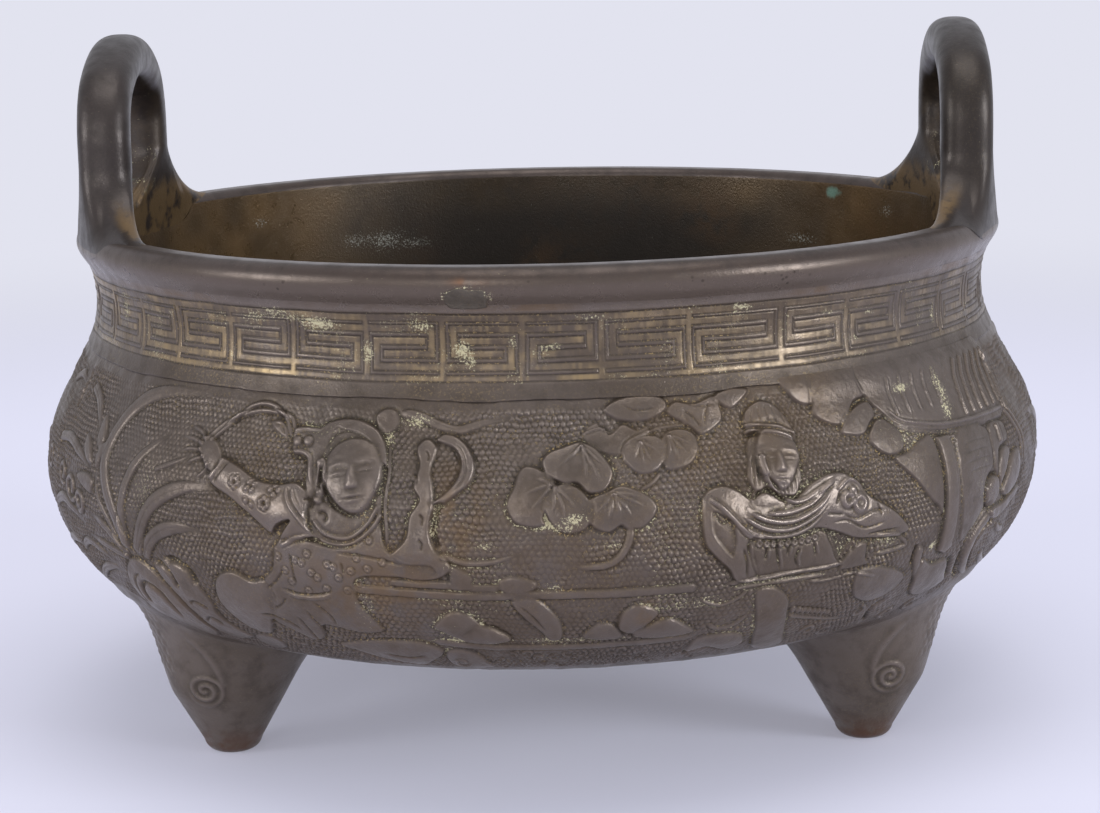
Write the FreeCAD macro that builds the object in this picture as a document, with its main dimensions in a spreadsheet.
import FreeCAD, Part
import math
import os
import Sketcher

# A bronze censer: a squat round bowl on three cone feet, a waisted neck ring with a rolled lip,
# and two upright loop handles on the lip. Millimetres, +Z up, the origin on the ground on the
# bowl's axis. The front is towards -Y and the handles stand at -X and +X.

# Driving dimensions. Angles are in degrees, and heights stack up from the ground.
driving_sizes = {
    # Bowl
    "belly_radius": 74.0,
    "base_height": 11.6,
    "base_drop": 6.9,
    "hip_curve": 21.5,
    "shoulder_curve": 20.0,
    "shoulder_slope": 30.0,
    "shoulder_rise": 16.8,
    "belly_wall": 3.4,
    "relief_rise": 0.9,
    # Joint between bowl and neck ring
    "solder_gap": 0.1,
    "rebate_wall": 2.0,
    "spigot_wall": 2.7,
    # Neck ring and rolled lip
    "neck_height": 17.5,
    "neck_curve": 15.0,
    "lip_width": 5.3,
    "lip_roll": 2.1,
    "roll_angle": 60.0,
    "inner_round": 1.4,
    # Handles
    "leg_span": 40.0,
    "leg_inset": 1.4,
    "leg_straight": 4.5,
    "arch_rise": 11.1,
    "corner_curve": 8.5,
    "bar_depth": 7.4,
    "bar_width": 6.6,
    "root_drop": 3.8,
    "root_height": 12.0,
    "root_reach": 4.4,
    "root_swell": 1.1,
    "pin_radius": 1.2,
    "pin_length": 3.4,
    "pin_inset": 2.2,
    "left_outset": 0.2,
    "left_twist": 0.5,
    "right_outset": 1.3,
    "right_twist": 3.7,
    # Feet
    "foot_turn": 90.0,
    "tip_flat": 2.2,
    "tip_round": 2.4,
    "tip_height": 2.0,
    "tip_radius": 4.2,
    "ankle_height": 10.0,
    "ankle_radius": 8.5,
    "calf_height": 8.0,
    "calf_radius": 11.8,
    "calf_curve": 16.0,
    "tenon_radius": 4.0,
    "tenon_root": 5.0,
    "tenon_proud": 1.4,
    # Base disc let into the floor
    "disc_radius": 24.0,
    "disc_ledge": 2.0,
    "disc_flange": 1.6,
    # Small pieces let into the casting
    "plug_circle": 38.0,
    "plug_side": 3.4,
    "patch_turn": -97.9,
    "patch_span": 4.6,
    "patch_reach": 1.3,
    "patch_depth": 1.2,
}

# Distance of the feet from the axis, as a share of the belly's radius.
foot_share = 0.711

# Sizes worked out from the driving ones, in the order that they are needed.
worked_sizes = {
    "belly_height": "size.base_height + size.base_drop + size.hip_curve",
    "step_height": "at.belly_height + size.shoulder_rise",
    "crest_height": "at.step_height + size.neck_height",
    # The underside is one wide arc that runs into the hip arc without a corner.
    "hip_x": "size.belly_radius - size.hip_curve",
    "hip_rise": "size.base_drop + size.hip_curve",
    "base_square": "at.hip_x^2 + at.hip_rise^2 - size.hip_curve^2",
    "base_curve": "at.base_square / (2 * size.base_drop)",
    "base_centre": "size.base_height + at.base_curve",
    "base_across": "at.hip_x / (at.base_curve - size.hip_curve)",
    "base_down": "(at.base_centre - at.belly_height) / (at.base_curve - size.hip_curve)",
    "inner_base": "at.base_curve - size.belly_wall",
    # The shoulder is an arc and then a straight slope up to the step.
    "shoulder_x": "size.belly_radius - size.shoulder_curve",
    "slope_cos": "cos(size.shoulder_slope * 1 deg)",
    "slope_sin": "sin(size.shoulder_slope * 1 deg)",
    "slope_x": "at.shoulder_x + size.shoulder_curve * at.slope_cos",
    "slope_z": "at.belly_height + size.shoulder_curve * at.slope_sin",
    "step_radius": "at.slope_x - (at.step_height - at.slope_z) * at.slope_sin / at.slope_cos",
    "rebate_radius": "at.step_radius - size.rebate_wall",
    "mouth_radius": "at.rebate_radius - size.spigot_wall",
    # The ledge is where the inside of the shoulder meets the bore of the mouth.
    "inner_shoulder": "size.shoulder_curve - size.belly_wall",
    "ledge_rise": "sqrt(at.inner_shoulder^2 - (at.mouth_radius - at.shoulder_x)^2)",
    "ledge_height": "at.belly_height + at.ledge_rise",
    # The lip's roll and the waist below it
    "roll_x": "at.mouth_radius + size.lip_width - size.lip_roll",
    "roll_z": "at.crest_height - size.lip_roll",
    "roll_cos": "cos(size.roll_angle * 1 deg)",
    "roll_sin": "sin(size.roll_angle * 1 deg)",
    "roll_foot_x": "at.roll_x + size.lip_roll * at.roll_cos",
    "roll_foot_z": "at.roll_z - size.lip_roll * at.roll_sin",
    "neck_lean": "at.roll_foot_x - at.step_radius",
    "neck_rise": "at.roll_foot_z - at.step_height",
    "neck_chord": "sqrt(at.neck_lean^2 + at.neck_rise^2)",
    "neck_offset": "sqrt(size.neck_curve^2 - (at.neck_chord / 2)^2) / at.neck_chord",
    "neck_centre_x": "(at.roll_foot_x + at.step_radius) / 2 + at.neck_offset * at.neck_rise",
    "neck_centre_z": "(at.roll_foot_z + at.step_height) / 2 - at.neck_offset * at.neck_lean",
    # The patch crosses the foot of the roll.
    "patch_low": "at.roll_foot_z - size.patch_reach",
    "patch_high": "at.roll_foot_z + size.patch_reach",
    "patch_cove": "sqrt(size.neck_curve^2 - (at.patch_low - at.neck_centre_z)^2)",
    "patch_low_x": "at.neck_centre_x - at.patch_cove",
    "patch_high_x": "at.roll_x + sqrt(size.lip_roll^2 - (at.roll_z - at.patch_high)^2)",
    "patch_floor": "at.patch_low_x - size.patch_depth",
    "patch_slack": "2 * size.solder_gap / at.roll_foot_x * 180 / pi",
    # Floor levels, outside and inside, where pieces pass through it
    "disc_hole": "size.disc_radius - size.disc_ledge",
    "disc_low": "at.base_centre - sqrt(at.base_curve^2 - size.disc_radius^2)",
    "disc_seat": "at.disc_low + size.disc_flange",
    "disc_high": "at.base_centre - sqrt(at.inner_base^2 - at.disc_hole^2)",
    "plug_low": "at.base_centre - sqrt(at.base_curve^2 - size.plug_circle^2)",
    "plug_high": "at.base_centre - sqrt(at.inner_base^2 - size.plug_circle^2)",
    "foot_circle": "%s * size.belly_radius" % foot_share,
    "tenon_low": "at.base_centre - sqrt(at.base_curve^2 - at.foot_circle^2) - size.tenon_root",
    "tenon_floor": "at.base_centre - sqrt(at.inner_base^2 - at.foot_circle^2)",
    "tenon_high": "at.tenon_floor + size.tenon_proud",
    # The handle's arch: two corner arcs and one flatter top arc, all tangent
    "half_span": "size.leg_span / 2",
    "leg_circle": "at.mouth_radius + size.leg_inset",
    "handle_x": "sqrt(at.leg_circle^2 - at.half_span^2)",
    "pin_circle": "at.mouth_radius + size.pin_inset",
    "root_z": "at.crest_height - size.root_drop",
    "root_top": "at.root_z + size.root_height",
    "spring_z": "at.root_top + size.leg_straight",
    "corner_y": "at.half_span - size.corner_curve",
    "arch_square": "at.corner_y^2 + size.arch_rise^2 - size.corner_curve^2",
    "arch_curve": "at.arch_square / (2 * (size.arch_rise - size.corner_curve))",
    "arch_ratio": "size.corner_curve / (at.arch_curve - size.corner_curve)",
    "arch_end_y": "at.corner_y * (1 + at.arch_ratio)",
    "arch_end_z": "at.spring_z + (at.arch_curve - size.arch_rise) * at.arch_ratio",
}

# Each handle's side of the bowl, and its name in the sizes.
handle_sides = {"handle_left": (-1, "left"), "handle_right": (1, "right")}

# Sections of a handle's root: share of the root's height, and shares of its spread and of its
# turn towards the lip that are left there.
root_shares = [(0.0, 1.0), (0.42, 0.40), (1.0, 0.0)]

# Rounding of the bar's corners, as a share of its shorter side.
corner_share = 0.42

# Outlines of the belly's main relief forms, seen straight on: points across from the form's own
# middle, as shares of the belly's radius, and up from the ground, as shares of the step's height.
relief_shares = {
    "arch": [
        (-0.09, 0.51), (-0.07, 0.56), (-0.03, 0.59), (0.03, 0.56), (0.06, 0.51), (0.07, 0.46),
        (-0.08, 0.47),
    ],
    "robe_left": [
        (-0.07, 0.71), (0.13, 0.74), (0.14, 0.67), (0.08, 0.61), (0.11, 0.48), (-0.04, 0.45),
        (-0.12, 0.5),
    ],
    "knee": [(-0.06, 0.57), (0.0, 0.61), (0.06, 0.59), (0.06, 0.51), (0.02, 0.44), (-0.04, 0.47)],
    "sleeve": [(-0.13, 0.87), (-0.03, 0.83), (0.08, 0.81), (0.13, 0.72), (0.01, 0.71), (-0.14, 0.81)],
    "head_left": [
        (-0.1, 0.93), (-0.03, 0.96), (0.04, 0.96), (0.08, 0.9), (0.07, 0.81), (0.03, 0.76),
        (-0.03, 0.8),
    ],
    "trunk": [
        (-0.01, 0.91), (0.03, 0.92), (0.03, 0.75), (0.05, 0.66), (0.01, 0.62), (-0.05, 0.65),
        (-0.02, 0.76),
    ],
    "leaves": [
        (-0.06, 0.89), (0.01, 0.93), (0.06, 0.87), (0.13, 0.81), (0.11, 0.74), (-0.11, 0.75),
        (-0.12, 0.82),
    ],
    "leaf": [(-0.06, 0.89), (-0.03, 0.93), (0.07, 0.93), (0.06, 0.87), (-0.03, 0.85)],
    "head_right": [(-0.04, 0.95), (0.0, 0.97), (0.04, 0.95), (0.05, 0.85), (0.02, 0.78), (-0.05, 0.8)],
    "robe_right": [
        (-0.21, 0.79), (-0.15, 0.81), (-0.03, 0.77), (0.07, 0.82), (0.15, 0.73), (0.22, 0.65),
        (0.07, 0.65), (0.06, 0.6), (-0.15, 0.59), (-0.21, 0.7),
    ],
    "tree": [(-0.11, 0.97), (-0.03, 0.9), (0.07, 0.83), (0.11, 0.89), (0.06, 0.97)],
    "roof": [(-0.19, 0.97), (-0.16, 0.89), (-0.04, 0.85), (0.2, 0.85), (0.22, 0.94), (0.21, 0.97)],
    "column": [(-0.1, 0.82), (0.02, 0.84), (0.07, 0.84), (0.07, 0.56), (0.03, 0.56), (0.03, 0.67)],
    "rock": [(-0.08, 0.71), (0.03, 0.77), (0.09, 0.73), (0.07, 0.64), (-0.05, 0.59), (-0.09, 0.64)],
    "stones": [(-0.06, 0.5), (-0.02, 0.55), (0.06, 0.47), (-0.03, 0.47)],
    "hill": [(-0.06, 0.49), (-0.04, 0.55), (0.07, 0.47), (-0.03, 0.47)],
}

# Places of the relief forms: turn from the front in degrees, and -1 where the form is mirrored.
relief_places = {
    "arch": [(-48, 1), (87, -1)],
    "robe_left": [(-24, 1)],
    "knee": [(-33, 1)],
    "sleeve": [(-29, 1)],
    "head_left": [(-21, 1)],
    "trunk": [(-12, 1), (136, -1)],
    "leaves": [(3, 1), (163, -1), (-96, 1)],
    "leaf": [(12, 1), (155, -1), (-87, 1)],
    "head_right": [(24, 1)],
    "robe_right": [(28, 1)],
    "tree": [(35, 1), (-116, -1)],
    "roof": [(51, 1), (-132, -1)],
    "column": [(45, 1), (-126, -1)],
    "rock": [(60, 1), (-141, -1)],
    "stones": [(-8, 1)],
    "hill": [(11, 1)],
}

# Turn of each foot from the back one. The plugs stand half way between them.
foot_turns = {"foot_back": 0, "foot_front_left": 120, "foot_front_right": 240}
plug_turn = "size.foot_turn + 180 / %d" % len(foot_turns)

doc = FreeCAD.newDocument("censer")
size = doc.addObject("Spreadsheet::Sheet", "size")
at = doc.addObject("App::VarSet", "at")


# Places of the four handle legs and their pins. The legs stand on the handle's own line, which
# is twisted a little about the upright axis, and each root turns to follow the lip.
def leg_sizes():
    texts = {}
    for side, word in handle_sides.values():
        texts[word + "_turn"] = "%d * size.%s_twist" % (-side, word)
        texts[word + "_x"] = "%d * (at.handle_x + size.%s_outset)" % (side, word)
        for sign, end in ((-1, "front"), (1, "back")):
            leg = "%s_%s" % (word, end)
            swing = "(at.%s_turn * 1 deg)" % word
            texts[leg + "_x"] = "at.%s_x - %d * at.half_span * sin%s" % (word, sign, swing)
            texts[leg + "_y"] = "%d * at.half_span * cos%s" % (sign, swing)
            texts[leg + "_turn"] = "atan(at.%s_y / at.%s_x) / 1 deg" % (leg, leg)
            texts[leg + "_pin"] = "at.pin_circle / sqrt(at.%s_x^2 + at.%s_y^2)" % (leg, leg)
    return texts


def fill_sizes():
    for row, (name, number) in enumerate(driving_sizes.items(), start=1):
        size.set("A%d" % row, name)
        size.set("B%d" % row, str(number))
        size.setAlias("B%d" % row, name)
    doc.recompute()
    for name, text in {**worked_sizes, **leg_sizes()}.items():
        at.addProperty("App::PropertyFloat", name, "Worked out")
        at.setExpression(name, text)
        doc.recompute()


def value(text):
    return float(at.evalExpression(text))


def new_body(label):
    body = doc.addObject("PartDesign::Body", label)
    body.Label = label
    return body


def origin_part(body, role):
    return [part for part in body.Origin.OriginFeatures if part.Role == role][0]


# A sketch on one of the body's origin planes. lift moves it along the plane's normal, and turn
# swings it about the upright axis, in degrees.
def sketch_on(body, name, plane, lift="0", turn="0"):
    sketch = body.newObject("Sketcher::SketchObject", name)
    sketch.AttachmentSupport = [(origin_part(body, plane + "_Plane"), "")]
    sketch.MapMode = "FlatFace"
    upright = FreeCAD.Vector(0, 0, 1) if plane == "XY" else FreeCAD.Vector(0, 1, 0)
    sketch.AttachmentOffset = FreeCAD.Placement(FreeCAD.Vector(), FreeCAD.Rotation(upright, 1))
    sketch.setExpression("AttachmentOffset.Rotation.Angle", "(%s) * 1 deg" % turn)
    sketch.setExpression("AttachmentOffset.Base.z", "(%s) * 1 mm" % lift)
    return sketch


def hold_point(sketch, piece, end, across, up):
    for kind, text in (("DistanceX", across), ("DistanceY", up)):
        row = sketch.addConstraint(Sketcher.Constraint(kind, -1, 1, piece, end, value(text)))
        sketch.setExpression("Constraints[%d]" % row, text)


def hold_radius(sketch, piece, text):
    row = sketch.addConstraint(Sketcher.Constraint("Radius", piece, value(text)))
    sketch.setExpression("Constraints[%d]" % row, text)


# Centre of the shorter arc from one point to another. side is 1 where the centre lies to the
# left of the way there, and -1 where it lies to the right.
def arc_centre(start, end, radius, side):
    chord = end - start
    reach = math.sqrt(radius**2 - (chord.Length / 2) ** 2)
    left = FreeCAD.Vector(-chord.y, chord.x, 0).normalize()
    return (start + end) / 2 + left * reach * side


# Adds a line, or an arc where a radius and a side are given, and returns its number and the
# numbers of its two ends in drawing order.
def add_edge(sketch, start, end, radius=None, side=None):
    if radius is None:
        return sketch.addGeometry(Part.LineSegment(start, end)), 1, 2
    centre = arc_centre(start, end, value(radius), side)
    first, last = (start, end) if side > 0 else (end, start)
    begin, stop = [math.atan2(point.y - centre.y, point.x - centre.x) for point in (first, last)]
    if stop < begin:
        stop += 2 * math.pi
    circle = Part.Circle(centre, FreeCAD.Vector(0, 0, 1), value(radius))
    piece = sketch.addGeometry(Part.ArcOfCircle(circle, begin, stop))
    hold_radius(sketch, piece, radius)
    return (piece, 1, 2) if side > 0 else (piece, 2, 1)


# Draws edges from point to point. A step is (across, up) for a line, and
# (across, up, radius, side) for an arc. A closed outline returns to its start.
def draw_outline(sketch, start, steps, closed=True):
    steps = steps + [start] if closed else steps
    places = [start] + [step[:2] for step in steps]
    points = [FreeCAD.Vector(value(across), value(up), 0) for across, up in places]
    edges = [
        add_edge(sketch, points[number], points[number + 1], *step[2:])
        for number, step in enumerate(steps)
    ]
    for number, (piece, first, last) in enumerate(edges):
        hold_point(sketch, piece, first, *places[number])
        if number > 0:
            before = edges[number - 1]
            sketch.addConstraint(Sketcher.Constraint("Coincident", before[0], before[2], piece, first))
    final, begin = edges[-1], edges[0]
    if closed:
        sketch.addConstraint(Sketcher.Constraint("Coincident", final[0], final[2], begin[0], begin[1]))
    else:
        hold_point(sketch, final[0], final[2], *places[-1])
    return sketch


def draw_circle(sketch, across, up, radius):
    centre = FreeCAD.Vector(value(across), value(up), 0)
    circle = sketch.addGeometry(Part.Circle(centre, FreeCAD.Vector(0, 0, 1), value(radius)))
    hold_point(sketch, circle, 3, across, up)
    hold_radius(sketch, circle, radius)
    return sketch


def draw_square(sketch, across, up, half_side):
    low_x, high_x = ["%s %s %s" % (across, sign, half_side) for sign in "-+"]
    low_y, high_y = ["%s %s %s" % (up, sign, half_side) for sign in "-+"]
    return draw_outline(sketch, (low_x, low_y), [(high_x, low_y), (high_x, high_y), (low_x, high_y)])


# Section of a handle's bar: a rectangle with well rounded corners about a middle point.
def draw_bar(sketch, across, up, half_x, half_y):
    rounding = "%s * 2 * min(%s; %s)" % (corner_share, half_x, half_y)
    arcs = []
    for number, (sign_x, sign_y) in enumerate([(1, -1), (1, 1), (-1, 1), (-1, -1)]):
        far_x = "%s + %d * (%s)" % (across, sign_x, half_x)
        far_y = "%s + %d * (%s)" % (up, sign_y, half_y)
        ends = [
            ("%s - %d * %s" % (far_x, sign_x, rounding), far_y),
            (far_x, "%s - %d * %s" % (far_y, sign_y, rounding)),
        ]
        arcs.append(ends if number % 2 == 0 else ends[::-1])
    steps = []
    for first, last in arcs:
        steps += [first, last + (rounding, 1)]
    return draw_outline(sketch, arcs[0][0], steps[1:])


# Turns a sketch about its upright axis, to add to the body or to cut it.
def turn_sketch(body, kind, sketch, angle="360"):
    feature = body.newObject("PartDesign::" + kind, sketch.Name + "_turned")
    feature.Profile = sketch
    feature.ReferenceAxis = (sketch, ["V_Axis"])
    feature.Midplane = True
    feature.setExpression("Angle", "(%s) * 1 deg" % angle)
    doc.recompute()
    return feature


def pad_sketch(body, sketch, length):
    feature = body.newObject("PartDesign::Pad", sketch.Name + "_pad")
    feature.Profile = sketch
    feature.setExpression("Length", "(%s) * 1 mm" % length)
    doc.recompute()
    return feature


# A pocket of a given depth, cut up from its sketch or down from it.
def cut_sketch(body, sketch, depth, upwards):
    before = body.Shape.Volume
    feature = body.newObject("PartDesign::Pocket", sketch.Name + "_pocket")
    feature.Profile = sketch
    feature.Reversed = upwards
    feature.setExpression("Length", "(%s) * 1 mm" % depth)
    doc.recompute()
    if body.Shape.Volume >= before:
        raise ValueError(feature.Name + " cuts nothing")
    return feature


def repeat_round(body, feature, count):
    pattern = body.newObject("PartDesign::PolarPattern", feature.Name + "_round")
    pattern.Originals = [feature]
    pattern.Axis = (origin_part(body, "Z_Axis"), [""])
    pattern.Angle = 360
    pattern.Occurrences = count
    body.Tip = pattern
    doc.recompute()
    return pattern


# Corner points of the belly's outline, drawn in by an inset from its outer face.
def belly_points(inset):
    base = "(at.base_curve - (%s))" % inset
    shoulder = "(size.shoulder_curve - (%s))" % inset
    return {
        "middle": ("0", "size.base_height + (%s)" % inset),
        "hip": ("%s * at.base_across" % base, "at.base_centre - %s * at.base_down" % base),
        "widest": ("size.belly_radius - (%s)" % inset, "at.belly_height"),
        "shoulder": (
            "at.shoulder_x + %s * at.slope_cos" % shoulder,
            "at.belly_height + %s * at.slope_sin" % shoulder,
        ),
    }


# Main forms of the belly's relief. Each is a level bar from the axis out through the belly, and
# all of them are cut back to the belly's own curves, moved out by the relief's rise.
def add_relief(body):
    for name, places in relief_places.items():
        for number, (turn, mirror) in enumerate(places, start=1):
            face = sketch_on(body, "relief_%s_%d" % (name, number), "XZ", turn=str(turn))
            corners = [
                ("%s * size.belly_radius" % (mirror * across), "%s * at.step_height" % up)
                for across, up in relief_shares[name]
            ]
            draw_outline(face, corners[0], corners[1:])
            pad_sketch(body, face, "size.belly_radius + size.hip_curve")
    face = belly_points("-size.relief_rise")
    outside = "size.belly_radius + 2 * size.hip_curve"
    shell = sketch_on(body, "relief_face", "XZ")
    draw_outline(
        shell,
        face["hip"],
        [
            face["widest"] + ("size.hip_curve + size.relief_rise", 1),
            face["shoulder"] + ("size.shoulder_curve + size.relief_rise", 1),
            ("at.step_radius + size.relief_rise / at.slope_cos", "at.step_height"),
            (outside, "at.step_height"),
            (outside, face["hip"][1]),
        ],
    )
    turn_sketch(body, "Groove", shell)


# Bowl: floor, belly and shoulder in one wall, with the main forms of its relief, a stepped hole
# for the base disc, a rebate for the neck ring, three holes for the feet's tenons and three for
# the core plugs.
def make_bowl():
    body = new_body("bowl")
    outer, inner = belly_points("0"), belly_points("size.belly_wall")
    disc_edge = "(size.disc_radius + size.solder_gap)"
    disc_bore = "(at.disc_hole + size.solder_gap)"
    rebate = "at.rebate_radius + size.solder_gap"
    floor = "at.base_centre - sqrt(at.inner_base^2 - %s^2)" % disc_bore
    whole = sketch_on(body, "bowl_outside", "XZ")
    draw_outline(
        whole,
        ("0", "size.base_height"),
        [
            outer["hip"] + ("at.base_curve", 1),
            outer["widest"] + ("size.hip_curve", 1),
            outer["shoulder"] + ("size.shoulder_curve", 1),
            ("at.step_radius", "at.step_height"),
            ("0", "at.step_height"),
        ],
    )
    turn_sketch(body, "Revolution", whole)
    add_relief(body)
    hollow = sketch_on(body, "bowl_inside", "XZ")
    draw_outline(
        hollow,
        ("0", "0"),
        [
            (disc_edge, "0"),
            (disc_edge, "at.disc_seat"),
            (disc_bore, "at.disc_seat"),
            (disc_bore, floor),
            inner["hip"] + ("at.inner_base", 1),
            inner["widest"] + ("size.hip_curve - size.belly_wall", 1),
            ("at.mouth_radius", "at.ledge_height", "at.inner_shoulder", 1),
            (rebate, "at.ledge_height"),
            (rebate, "at.crest_height"),
            ("0", "at.crest_height"),
        ],
    )
    turn_sketch(body, "Groove", hollow)
    foot_hole = sketch_on(body, "foot_hole", "XY", turn="size.foot_turn")
    draw_circle(foot_hole, "at.foot_circle", "0", "size.tenon_radius + size.solder_gap")
    repeat_round(body, cut_sketch(body, foot_hole, "at.belly_height", True), len(foot_turns))
    plug_hole = sketch_on(body, "plug_hole", "XY", turn=plug_turn)
    draw_square(plug_hole, "size.plug_circle", "0", "(size.plug_side / 2 + size.solder_gap)")
    repeat_round(body, cut_sketch(body, plug_hole, "at.belly_height", True), len(foot_turns))
    return body


# Base disc: a flange below and a narrower boss above, flush with the floor at its edge.
def make_base_disc():
    body = new_body("base_disc")
    half = sketch_on(body, "disc_half", "XZ")
    seat = "at.disc_seat - size.solder_gap"
    draw_outline(
        half,
        ("0", "at.disc_low"),
        [
            ("size.disc_radius", "at.disc_low"),
            ("size.disc_radius", seat),
            ("at.disc_hole", seat),
            ("at.disc_hole", "at.disc_high"),
            ("0", "at.disc_high"),
        ],
    )
    turn_sketch(body, "Revolution", half)
    return body


# Core plugs: three square pegs that close the holes left by the core's spacers.
def make_core_plugs():
    body = new_body("core_plugs")
    body.AllowCompound = True
    face = sketch_on(body, "plug_face", "XY", lift="at.plug_low", turn=plug_turn)
    draw_square(face, "size.plug_circle", "0", "size.plug_side / 2")
    repeat_round(body, pad_sketch(body, face, "at.plug_high - at.plug_low"), len(foot_turns))
    return body


# Neck ring: a spigot in the bowl's rebate, the waisted band and the rolled lip, with blind
# holes for the handles' pins and a recess for the lip patch.
def make_neck_ring():
    body = new_body("neck_ring")
    wall = sketch_on(body, "ring_wall", "XZ")
    spigot_foot = "at.ledge_height + size.solder_gap"
    draw_outline(
        wall,
        ("at.step_radius", "at.step_height"),
        [
            ("at.roll_foot_x", "at.roll_foot_z", "size.neck_curve", -1),
            ("at.roll_x + size.lip_roll", "at.roll_z", "size.lip_roll", 1),
            ("at.roll_x", "at.crest_height", "size.lip_roll", 1),
            ("at.mouth_radius + size.inner_round", "at.crest_height"),
            ("at.mouth_radius", "at.crest_height - size.inner_round", "size.inner_round", 1),
            ("at.mouth_radius", spigot_foot),
            ("at.rebate_radius", spigot_foot),
            ("at.rebate_radius", "at.step_height"),
        ],
    )
    turn_sketch(body, "Revolution", wall)
    for leg in leg_names():
        hole = sketch_on(body, leg + "_hole", "XY", lift="at.crest_height")
        draw_pin(hole, leg, "size.pin_radius + size.solder_gap")
        cut_sketch(body, hole, "size.pin_length + size.solder_gap", False)
    recess = sketch_on(body, "patch_recess", "XZ", turn="size.patch_turn")
    outside = "at.roll_x + size.lip_roll + size.solder_gap"
    low, high = "at.patch_low - size.solder_gap", "at.patch_high + size.solder_gap"
    draw_outline(
        recess,
        ("at.patch_floor", low),
        [(outside, low), (outside, high), ("at.patch_floor", high)],
    )
    turn_sketch(body, "Groove", recess, "size.patch_span + at.patch_slack")
    return body


def leg_names():
    return ["%s_%s" % (word, end) for side, word in handle_sides.values() for end in ("front", "back")]


def draw_pin(sketch, leg, radius):
    across, up = ["at.%s_%s * at.%s_pin" % (leg, axis, leg) for axis in "xy"]
    return draw_circle(sketch, across, up, radius)


# Lip patch: a small piece of metal that fills a flaw in the lip's front, flush with it.
def make_lip_patch():
    body = new_body("lip_patch")
    face = sketch_on(body, "patch_face", "XZ", turn="size.patch_turn")
    floor = "at.patch_floor + size.solder_gap"
    draw_outline(
        face,
        (floor, "at.patch_low"),
        [
            ("at.patch_low_x", "at.patch_low"),
            ("at.roll_foot_x", "at.roll_foot_z", "size.neck_curve", -1),
            ("at.patch_high_x", "at.patch_high", "size.lip_roll", 1),
            (floor, "at.patch_high"),
        ],
    )
    turn_sketch(body, "Revolution", face, "size.patch_span")
    return body


# Handle: a bar bent into an upright loop. Each leg flares into a root that saddles the lip, cut
# to the lip's own section with a solder gap, and holds a pin that goes into the lip.
def make_handle(label):
    side, word = handle_sides[label]
    body = new_body(label)
    path = sketch_on(body, word + "_path", "YZ", lift="at.%s_x" % word, turn="at.%s_turn" % word)
    draw_outline(
        path,
        ("-at.half_span", "at.root_top"),
        [
            ("-at.half_span", "at.spring_z"),
            ("-at.arch_end_y", "at.arch_end_z", "size.corner_curve", -1),
            ("at.arch_end_y", "at.arch_end_z", "at.arch_curve", -1),
            ("at.half_span", "at.spring_z", "size.corner_curve", -1),
            ("at.half_span", "at.root_top"),
        ],
        closed=False,
    )
    section = leg_section(body, word + "_front", word, *root_shares[-1])
    doc.recompute()
    bar = body.newObject("PartDesign::AdditivePipe", word + "_bar")
    bar.Profile = section
    bar.Spine = (path, ["Edge%d" % (number + 1) for number in range(len(path.Geometry))])
    doc.recompute()
    for end in ("front", "back"):
        leg = "%s_%s" % (word, end)
        sections = [leg_section(body, leg, word, *shares) for shares in root_shares]
        root = body.newObject("PartDesign::AdditiveLoft", leg + "_root")
        root.Profile = sections[0]
        root.Sections = sections[1:]
        doc.recompute()
    saddle = sketch_on(body, word + "_saddle", "XZ")
    draw_lip_space(saddle)
    turn_sketch(body, "Groove", saddle)
    for end in ("front", "back"):
        leg = "%s_%s" % (word, end)
        low = "at.crest_height - size.pin_length"
        pin = draw_pin(sketch_on(body, leg + "_pin", "XY", lift=low), leg, "size.pin_radius")
        pad_sketch(body, pin, "size.pin_length + size.bar_width / 2")
    return body


# Level section of a leg at a share of its root's height. share_left is how much of the root's
# spread and of its turn towards the lip is left there.
def leg_section(body, leg, word, height_share, share_left):
    turn = "(at.%s_turn * %s + at.%s_turn * %s)" % (leg, share_left, word, 1 - share_left)
    lift = "at.root_z + %s * size.root_height" % height_share
    name = "%s_section_%d" % (leg, len(doc.Objects))
    sketch = sketch_on(body, name, "XY", lift=lift, turn=turn)
    cosine, sine = ["%s(%s * 1 deg)" % (kind, turn) for kind in ("cos", "sin")]
    across = "at.%s_x * %s + at.%s_y * %s" % (leg, cosine, leg, sine)
    up = "at.%s_y * %s - at.%s_x * %s" % (leg, cosine, leg, sine)
    half_x = "(size.bar_depth / 2 + %s * size.root_swell)" % share_left
    half_y = "(size.bar_width / 2 + %s * size.root_reach)" % share_left
    return draw_bar(sketch, across, up, half_x, half_y)


# Section of the lip and of the waist below it, grown by the solder gap.
def draw_lip_space(sketch):
    gap = "size.solder_gap"
    roll, inner = "(size.lip_roll + %s)" % gap, "(size.inner_round + %s)" % gap
    bottom = "at.root_z - size.bar_width"
    cove = "at.neck_centre_x - sqrt((size.neck_curve - %s)^2 - (%s - at.neck_centre_z)^2)"
    draw_outline(
        sketch,
        ("at.mouth_radius - %s" % gap, bottom),
        [
            (cove % (gap, bottom), bottom),
            (
                "at.roll_x + %s * at.roll_cos" % roll,
                "at.roll_z - %s * at.roll_sin" % roll,
                "size.neck_curve - %s" % gap,
                -1,
            ),
            ("at.roll_x + %s" % roll, "at.roll_z", roll, 1),
            ("at.roll_x", "at.crest_height + %s" % gap, roll, 1),
            ("at.mouth_radius + size.inner_round", "at.crest_height + %s" % gap),
            ("at.mouth_radius - %s" % gap, "at.crest_height - size.inner_round", inner, 1),
        ],
    )
    return sketch


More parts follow.
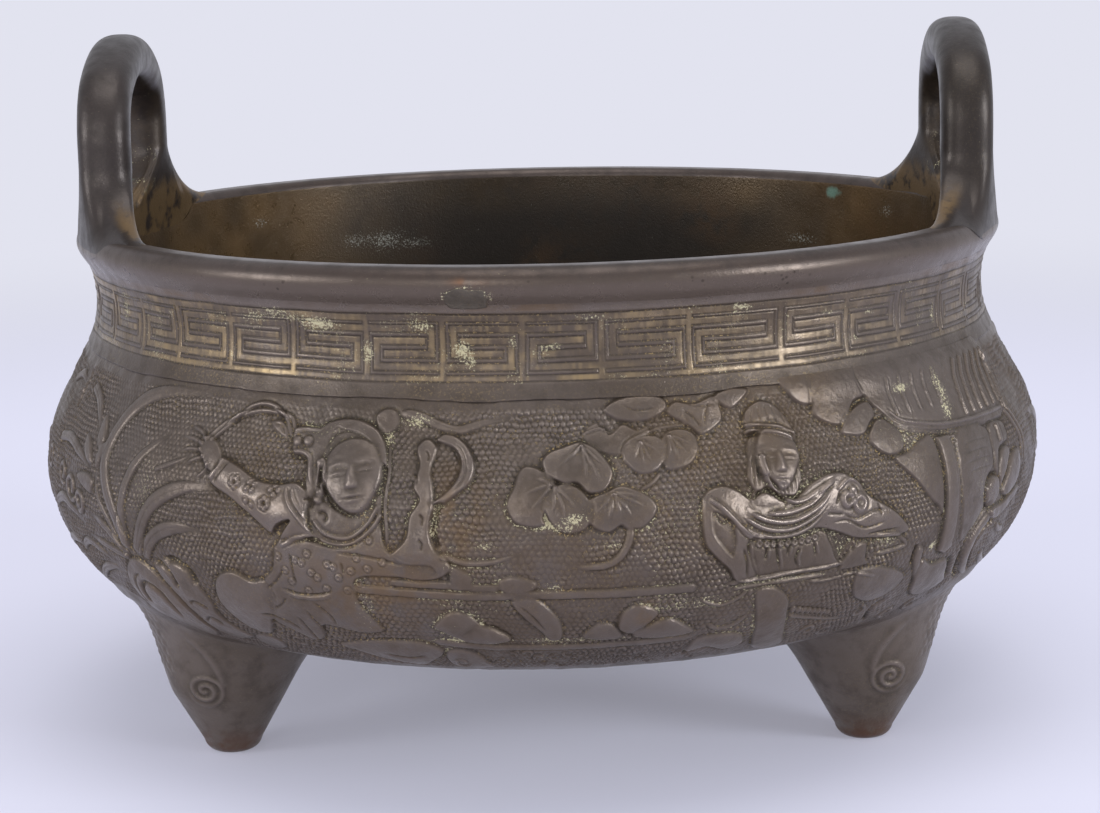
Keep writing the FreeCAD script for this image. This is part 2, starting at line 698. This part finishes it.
# Foot: a round cone with a blunt tip that flares against the belly, cut to the belly's own
# curve with a solder gap, and a tenon that goes through the floor.
def make_foot(label):
    body = new_body(label)
    cone = sketch_on(body, label + "_cone", "XZ")
    axis = "at.foot_circle"
    ankle = ("%s + size.ankle_radius" % axis, "size.ankle_height")
    calf_z = "size.ankle_height + size.calf_height"
    draw_outline(
        cone,
        (axis, "0"),
        [
            ("%s + size.tip_flat" % axis, "0"),
            ("%s + size.tip_radius" % axis, "size.tip_height", "size.tip_round", 1),
            ankle,
            ("%s + size.calf_radius" % axis, calf_z, "size.calf_curve", -1),
            ("%s + size.calf_radius" % axis, "at.belly_height"),
            (axis, "at.belly_height"),
        ],
    )
    upright = cone.addGeometry(Part.LineSegment(FreeCAD.Vector(), FreeCAD.Vector(0, 1, 0)), True)
    hold_point(cone, upright, 1, axis, "0")
    hold_point(cone, upright, 2, axis, "at.belly_height")
    turn = turn_sketch(body, "Revolution", cone)
    turn.ReferenceAxis = (cone, ["Axis0"])
    doc.recompute()
    points = belly_points("-size.solder_gap")
    belly = sketch_on(body, label + "_belly", "XZ")
    draw_outline(
        belly,
        points["middle"],
        [
            points["hip"] + ("at.base_curve + size.solder_gap", 1),
            points["widest"] + ("size.hip_curve + size.solder_gap", 1),
            ("size.belly_radius + size.solder_gap", "at.step_height"),
            ("0", "at.step_height"),
        ],
    )
    turn_sketch(body, "Groove", belly)
    tenon = sketch_on(body, label + "_tenon", "XY", lift="at.tenon_low")
    pad_sketch(body, draw_circle(tenon, axis, "0", "size.tenon_radius"), "at.tenon_high - at.tenon_low")
    upwards = FreeCAD.Vector(0, 0, 1)
    body.Placement = FreeCAD.Placement(FreeCAD.Vector(), FreeCAD.Rotation(upwards, 1))
    body.setExpression("Placement.Rotation.Angle", "(size.foot_turn + %d) * 1 deg" % foot_turns[label])
    return body


def write_parts(bodies):
    doc.recompute()
    for thing in doc.Objects:
        if "Invalid" in thing.State or "Error" in thing.State:
            raise ValueError("%s is not made" % thing.Name)
    os.makedirs("parts", exist_ok=True)
    for body in bodies:
        if body.Shape.isNull() or not body.Shape.isValid():
            raise ValueError("%s has no sound shape" % body.Label)
        body.Shape.exportStep("parts/%s.step" % body.Label)
        print(body.Label, len(body.Shape.Solids), round(body.Shape.Volume))


fill_sizes()
bodies = [make_bowl(), make_base_disc(), make_core_plugs(), make_neck_ring(), make_lip_patch()]
bodies += [make_handle(label) for label in handle_sides]
bodies += [make_foot(label) for label in foot_turns]
write_parts(bodies)
